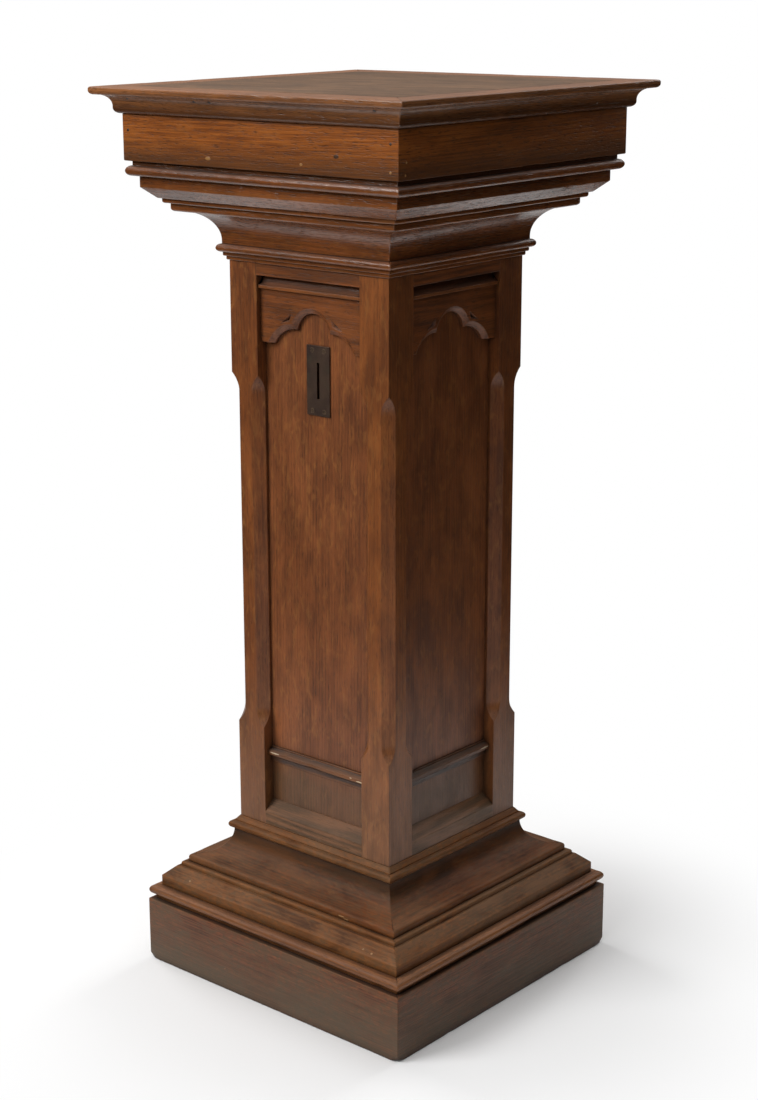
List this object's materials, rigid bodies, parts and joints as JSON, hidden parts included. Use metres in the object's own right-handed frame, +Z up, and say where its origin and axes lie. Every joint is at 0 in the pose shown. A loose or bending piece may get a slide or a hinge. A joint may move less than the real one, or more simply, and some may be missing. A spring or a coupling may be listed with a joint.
{
  "type": "donation box",
  "caption": "Square oak donation pedestal with moulded base and capital, arched recessed panels, a metal coin slot in front and a locked rear door.",
  "frame": {"origin": "on the floor, under the middle of the box", "axes": "+Z up, -Y towards the face with the coin slot, +X to the right of someone facing the slot"},
  "size_m": [0.514, 0.514, 1.2],
  "materials": {
    "shaft_oak": "aged satin polish",
    "frieze_oak": "aged satin polish",
    "capital_oak": "aged satin polish",
    "base_oak": "dusty worn polish",
    "door_oak": "aged satin polish",
    "inner_pine": "bare sawn softwood",
    "slot_bronze": "dark patina",
    "hardware_brass": "tarnished",
    "lock_iron": "oiled black iron"
  },
  "bodies": {
    "carcass": {"base_cavetto": "base_oak", "base_deck": "inner_pine", "base_nosing": "base_oak", "base_step": "base_oak", "bottom_rail_front": "shaft_oak", "bottom_rail_left": "shaft_oak", "bottom_rail_rear": "shaft_oak", "bottom_rail_right": "shaft_oak", "capital_cove": "capital_oak", "capital_nosing": "capital_oak", "capital_step": "capital_oak", "cornice": "capital_oak", "crown_board": "inner_pine", "floor_bearers": "inner_pine", "foot_bead": "base_oak", "frieze_front": "frieze_oak", "frieze_left": "frieze_oak", "frieze_rear": "frieze_oak", "frieze_right": "frieze_oak", "head_bars": "shaft_oak", "hinge_pins": "hardware_brass", "hinge_post_leaves": "hardware_brass", "keeper_plate": "lock_iron", "money_floor": "inner_pine", "neck_bead": "capital_oak", "panel_front": "shaft_oak", "panel_left": "shaft_oak", "panel_right": "shaft_oak", "plinth_corner_blocks": "inner_pine", "plinth_front": "base_oak", "plinth_left": "base_oak", "plinth_rear": "base_oak", "plinth_right": "base_oak", "post_front_left": "shaft_oak", "post_front_right": "shaft_oak", "post_rear_left": "shaft_oak", "post_rear_right": "shaft_oak", "post_screws": "hardware_brass", "slot_plate": "slot_bronze", "slot_plate_screws": "slot_bronze", "spandrel_front": "shaft_oak", "spandrel_left": "shaft_oak", "spandrel_right": "shaft_oak", "string_bars": "shaft_oak", "top_board": "capital_oak", "top_rail_front": "shaft_oak", "top_rail_left": "shaft_oak", "top_rail_rear": "shaft_oak", "top_rail_right": "shaft_oak"},
    "door": {"door_bottom_rail": "door_oak", "door_hinge_stile": "door_oak", "door_lock_stile": "door_oak", "door_panel": "door_oak", "door_screws": "hardware_brass", "door_top_rail": "door_oak", "escutcheon": "hardware_brass", "hinge_door_leaves": "hardware_brass", "lock_case": "lock_iron"},
    "lock_bolt": {"lock_bolt": "lock_iron"}
  },
  "joints": [
    {"name": "door_hinge", "type": "hinge", "parent": "carcass", "child": "door", "pos_m": [-0.08625, 0.1384, 0.6], "axis": [0, 0, 1], "range_deg": [0, 170]},
    {"name": "bolt_slide", "type": "slide", "parent": "door", "child": "lock_bolt", "axis": [1, 0, 0], "range_m": [0, 0.014]}
  ]
}
